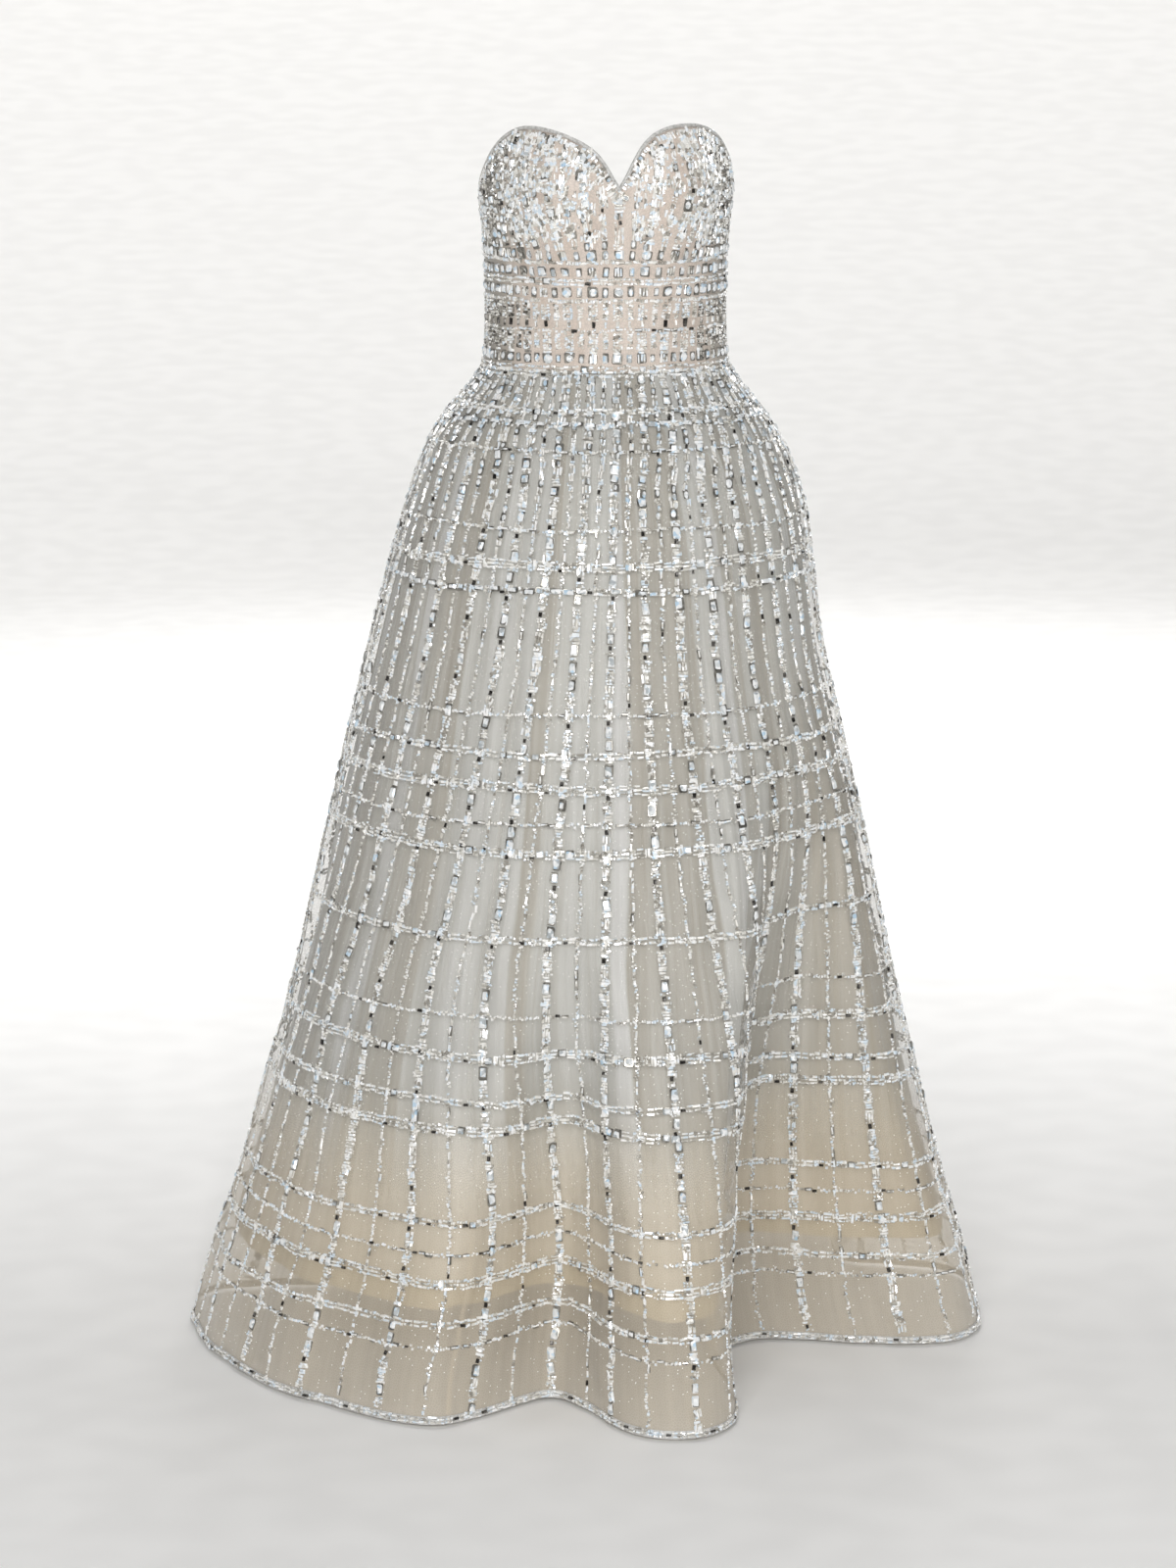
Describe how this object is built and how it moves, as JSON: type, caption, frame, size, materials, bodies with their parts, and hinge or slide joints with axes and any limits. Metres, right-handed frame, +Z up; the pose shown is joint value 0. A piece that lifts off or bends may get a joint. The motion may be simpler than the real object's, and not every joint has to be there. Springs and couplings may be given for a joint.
{
  "type": "maxi dress",
  "caption": "Strapless full-length dress of beaded tulle with a sweetheart neckline, fitted bodice and fluted A-line skirt over a pleated underskirt.",
  "frame": {"origin": "middle of the waist seam, on the axis of the wearer's body", "axes": "+Z up along the wearer's body, -Y out of the front, +X to the wearer's left"},
  "size_m": [0.8903, 0.8963, 1.3332],
  "materials": {
    "bodice_tulle": "beaded sheer tulle mounted on nude satin",
    "skirt_tulle": "sheer beaded tulle with a fine glitter",
    "underskirt_organza": "soft pleated organza",
    "slip_lining": "matt pale satin lining",
    "satin_piping": "rolled satin piping",
    "glass_beads": "silver-lined glass seed beads, bugles and stones",
    "zip_tape": "woven polyester tape",
    "zip_metal": "plated metal"
  },
  "bodies": {
    "dress": {"bodice_back_right": "bodice_tulle", "bodice_side_back_right": "bodice_tulle", "bodice_side_front_right": "bodice_tulle", "bodice_front": "bodice_tulle", "bodice_side_front_left": "bodice_tulle", "bodice_side_back_left": "bodice_tulle", "bodice_back_left": "bodice_tulle", "skirt_back_right": "skirt_tulle", "skirt_side_back_right": "skirt_tulle", "skirt_side_front_right": "skirt_tulle", "skirt_front": "skirt_tulle", "skirt_side_front_left": "skirt_tulle", "skirt_side_back_left": "skirt_tulle", "skirt_back_left": "skirt_tulle", "underskirt_back_right": "underskirt_organza", "underskirt_front": "underskirt_organza", "underskirt_back_left": "underskirt_organza", "slip_lining_back_right": "slip_lining", "slip_lining_front": "slip_lining", "slip_lining_back_left": "slip_lining", "neckline_piping": "satin_piping", "hem_trim": "glass_beads", "zip_tape": "zip_tape", "zip_slider": "zip_metal"},
    "zip_pull": {"zip_pull": "zip_metal"}
  },
  "joints": [
    {"name": "zip_pull_hinge", "type": "hinge", "parent": "dress", "child": "zip_pull", "pos_m": [0, 0.10716, 0.1425], "axis": [1, 0, 0], "range_deg": [0, 150]}
  ]
}
